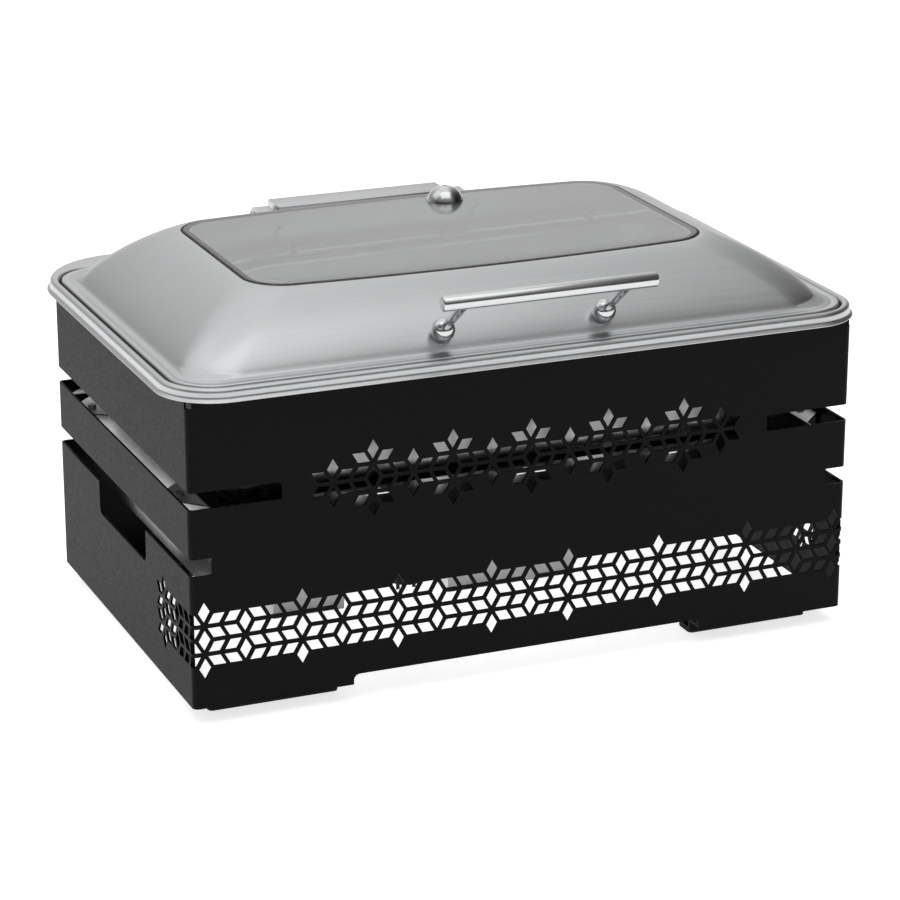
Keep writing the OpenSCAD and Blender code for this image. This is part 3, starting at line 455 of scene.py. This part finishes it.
def lid_wall_rings(inset, shares):
    """Rings of the lid's curved wall, from its foot at share 0 to the window at share 1."""
    foot_x, foot_y = LID_HIGH.x - FLANGE_WIDTH, LID_HIGH.y - FLANGE_WIDTH
    window_x, window_y, shift = window_size()
    rise = LID_HIGH.z - FLANGE_TOP
    rings = []
    for share in shares:
        height = rise * (1 - (1 - share) ** WALL_FULLNESS) ** (1 / WALL_FULLNESS)
        rings.append((
            FLANGE_TOP + height - inset,
            foot_x + (window_x - foot_x) * share - inset,
            foot_y + (window_y - foot_y) * share - inset,
            WALL_CORNER + (WINDOW_CORNER - WALL_CORNER) * share - inset,
            WINDOW_BOW * share,
            shift * share,
        ))
    return rings


def window_size():
    """Half width and half depth of the window opening at its corners, and how far back its middle is."""
    half_x = (GLASS_HIGH.x - GLASS_LOW.x) / 2 + WINDOW_GAP
    half_y = (GLASS_HIGH.y - GLASS_LOW.y) / 2 - WINDOW_BOW + WINDOW_GAP
    return half_x, half_y, (GLASS_HIGH.y + GLASS_LOW.y) / 2


def window_ring(inset, z):
    half_x, half_y, shift = window_size()
    return (z, half_x - inset, half_y - inset, WINDOW_CORNER - inset, WINDOW_BOW, shift)


def lid_cover():
    """One deep pressing: skirt, stepped flange, full curved walls and a seat for the window."""

    def flange(inset, z):
        return (z, LID_HIGH.x - inset, LID_HIGH.y - inset, FLANGE_CORNER - inset)

    skirt = LID_LOW.z
    seat = GLASS_LOW.z - 0.8
    steps = 30
    shares = [(i / steps) ** 1.25 for i in range(1, steps + 1)]
    skin = [flange(0, skirt), flange(0, FLANGE_TOP - 1.4)]
    skin += [flange(1.4 - 1.4 * x, FLANGE_TOP - 1.4 + 1.4 * y) for x, y in arc(0, 0, 1, 20, 90, 4)]
    skin += [flange(5.2, FLANGE_TOP), flange(5.7, FLANGE_TOP - 0.25), flange(6.6, FLANGE_TOP - 0.3)]
    skin += [flange(7.1, FLANGE_TOP), flange(10.4, FLANGE_TOP), flange(11.2, FLANGE_TOP + 0.3)]
    skin += lid_wall_rings(0, shares)
    skin += [window_ring(0.5, LID_HIGH.z - 0.1), window_ring(0.8, LID_HIGH.z - 0.5)]
    skin += [window_ring(0.8, seat), window_ring(9, seat), window_ring(9, seat - STEEL)]
    skin += lid_wall_rings(STEEL, [shares[i] for i in range(steps - 4, 0, -3)])
    skin += [flange(STEEL + 8, FLANGE_TOP - STEEL), flange(STEEL, FLANGE_TOP - STEEL - 0.8)]
    skin += [flange(STEEL, skirt)]
    bm = wrapped(skin, closed=True)
    return made("lid_cover", bm, FINISHES["brushed_stainless"], "lid_shell", "lid")


def window_glass():
    """Toughened pane with a ground and polished edge, very slightly crowned."""
    top, low = GLASS_HIGH.z, GLASS_LOW.z
    edge = WINDOW_GAP
    middle_in = edge + 26  # ring round the flat middle, short of the corner radius
    rings = [window_ring(middle_in, low), window_ring(edge + 0.6, low), window_ring(edge, low + 0.6)]
    rings += [window_ring(edge, top - 1.2), window_ring(edge + 0.35, top - 0.45)]
    rings += [window_ring(edge + 1.1, top), window_ring(edge + 8, top + 0.15)]
    rings += [window_ring(middle_in, top + 0.4)]
    bm = capped(wrapped(rings))
    return made("window_pane", bm, FINISHES["clear_glass"], "lid_glass", "lid", 20)


def window_seal():
    """Silicone channel round the pane: a narrow black line outside it and a lip under it."""
    top = LID_HIGH.z
    seat = GLASS_LOW.z
    rings = [window_ring(0.9, seat - 0.8), window_ring(0.9, top - 0.7), window_ring(1.3, top - 0.1)]
    rings += [window_ring(1.9, top - 0.1), window_ring(2.35, top - 0.6), window_ring(2.35, seat)]
    rings += [window_ring(8, seat), window_ring(8, seat - 0.8)]
    bm = wrapped(rings, closed=True)
    return made("window_seal", bm, FINISHES["black_silicone"], "window_gasket", "lid")


def vent():
    """Domed steam vent: a spun chrome cap over a dark seat ring, with a small hole at its crown."""
    low, high = extent("vent_cap")
    centre = middle("vent_cap")
    foot = GLASS_HIGH.z + 0.6
    radius = (high.x - low.x) / 2
    rise = high.z - foot
    curve = (radius**2 + rise**2) / (2 * rise)
    start = math.degrees(math.atan2(rise - curve, radius))
    dome = arc(0, high.z - curve, curve, start, 88, 20)
    profile = [(0, low.z), (3, low.z), (3, foot), (radius - 2, foot), (radius - 0.3, foot + 0.2)]
    profile += dome[1:-1] + [(1.5, high.z - 0.15), (1.3, high.z - 0.6), (1.3, high.z - 3), (0, high.z - 3)]
    bm = placed(turned(profile), Matrix.Translation((centre.x, centre.y, 0)))
    return made("vent_dome", bm, FINISHES["polished_chrome"], "vent_cap", "lid")


# ---------- fittings with broken edges ----------

# CAD node and the width of its broken edges
EASED = {
    "hinge_housing": 1.2,
    "hinge_base": 0.5,
    "hinge_arms": 1.0,
    "shaft_caps": 0.4,
    "handle_bar": 0.4,
    "handle_posts": 0.2,
    "handle_bosses": 0.3,
    "boss_screws": 0.15,
    "control_box": 0.6,
    "inlet_socket": 0.4,
    "switch_frame": 0.3,
    "switch_rocker": 0.4,
    "thermostat_knob": 0.5,
    "control_box_screws": 0.3,
    "hinge_screws": 0.3,
    "foot_pads": 0.4,
}


def eased_fittings():
    """Folded, turned and moulded fittings in their CAD shape, with their sharp edges broken."""
    slots = {row["node"]: row["material_slot"] for row in frame["record"]["subparts"]}
    bodies = frame["record"]["behaviour"]["bodies"]
    for node, width in EASED.items():
        source = NODES[node]
        body = next(name for name, nodes in bodies.items() if node in nodes)
        bm = bmesh.new()
        bm.from_mesh(source.data)
        bmesh.ops.transform(bm, matrix=Matrix.Scale(1 / MM, 4) @ source.matrix_world, verts=bm.verts)
        bmesh.ops.remove_doubles(bm, verts=bm.verts, dist=0.002)
        bmesh.ops.dissolve_limit(bm, angle_limit=math.radians(0.5), verts=bm.verts, edges=bm.edges)
        bevelled(bm, width)
        made(node + "_eased", bm, FINISHES[slots[node]], node, body)


# ---------- studio ----------

VIEW_TURN = 22.67  # degrees to the right of straight at the front
VIEW_DROP = 19.0  # degrees below level
CAMERA_AT = (-0.991, -2.382, 1.022)
FLOOR_REACH = 30  # from the middle to each edge
BACKDROP_RADIUS = 28


def camera():
    data = bpy.data.cameras.new("camera")
    data.lens = 129.45
    data.sensor_width = 36
    data.clip_end = 60
    eye = bpy.data.objects.new("camera", data)
    eye.location = CAMERA_AT
    eye.rotation_euler = (math.radians(90 - VIEW_DROP), 0, -math.radians(VIEW_TURN))
    bpy.context.scene.collection.objects.link(eye)
    bpy.context.scene.camera = eye


def stage_piece(name, bm, glow):
    """White studio surface that gives off a little light of its own, so that shadows on it stay faint."""
    mesh = bpy.data.meshes.new(name)
    bm.to_mesh(mesh)
    bm.free()
    material, _, shader = finish("studio_" + name, Roughness=0.9, Specular_IOR_Level=0.1)
    shader.inputs["Base Color"].default_value = linear("#f4f4f4")
    shader.inputs["Emission Color"].default_value = linear("#ffffff")
    shader.inputs["Emission Strength"].default_value = glow
    mesh.materials.append(material)
    piece = bpy.data.objects.new(name, mesh)
    bpy.context.scene.collection.objects.link(piece)
    piece.visible_diffuse = False
    return piece


def floor():
    bm = bmesh.new()
    bmesh.ops.create_grid(bm, x_segments=1, y_segments=1, size=FLOOR_REACH)
    stage_piece("floor", bm, 0.75)


def backdrop():
    """Round white wall far off, seen only by the camera."""
    wall = stage_piece("backdrop", turned([(BACKDROP_RADIUS, -0.5), (BACKDROP_RADIUS, 16)]), 1.0)
    wall.visible_glossy = False
    wall.visible_transmission = False
    wall.visible_shadow = False


def softbox(name, direction, distance, size, power):
    """A square area light that faces the middle of the object."""
    data = bpy.data.lights.new(name, "AREA")
    data.shape = "RECTANGLE"
    data.size, data.size_y = size
    data.energy = power
    lamp = bpy.data.objects.new(name, data)
    way = Vector(direction).normalized()
    lamp.location = way * distance + Vector((0, 0, 0.2))
    lamp.rotation_euler = way.to_track_quat("Z", "Y").to_euler()
    bpy.context.scene.collection.objects.link(lamp)


def surroundings():
    """White studio round the table: bright behind on the right, bright above on the left, grey elsewhere."""
    world = bpy.data.worlds.new("studio")
    bpy.context.scene.world = world
    world.use_nodes = True
    tree = world.node_tree
    way = add(tree, "ShaderNodeTexCoord").outputs["Generated"]
    axes = add(tree, "ShaderNodeSeparateXYZ", Vector=way).outputs
    rear = between(tree, axes["Y"], 0.12, 0.90, -0.2, 0.85)
    rear_side = between(tree, axes["X"], 0.50, 1.0, -0.4, 0.35)
    above = between(tree, axes["Z"], 0.0, 0.65, 0.3, 0.95)
    above_side = between(tree, axes["X"], 1.0, 0.10, 0.25, 0.60)
    far_right = between(tree, axes["X"], 1.0, 0.15, 0.45, 0.85)
    overhead = add(tree, "ShaderNodeMath", {"operation": "MULTIPLY"}, i0=above, i1=above_side)
    total = add(
        tree, "ShaderNodeMath", {"operation": "MULTIPLY_ADD"}, i0=rear, i1=rear_side, i2=overhead.outputs[0]
    )
    shaded = add(tree, "ShaderNodeMath", {"operation": "MULTIPLY"}, i0=total.outputs[0], i1=far_right)
    tree.links.new(tree.nodes["Background"].inputs["Strength"], shaded.outputs[0])
    tree.nodes["Background"].inputs["Color"].default_value = linear("#ffffff")


def studio():
    surroundings()
    floor()
    backdrop()
    camera()
    softbox("left_softbox", (-0.60, 0.30, 0.74), 2.4, (1.8, 1.5), 3.5)
    softbox("overhead_softbox", (-0.07, -0.30, 1.0), 2.2, (2.2, 1.8), 9)
    bpy.context.scene.view_settings.view_transform = "Standard"


dress_cad_nodes()
water_pan()
food_pan()
lid_cover()
window_glass()
window_seal()
vent()
eased_fittings()
studio()
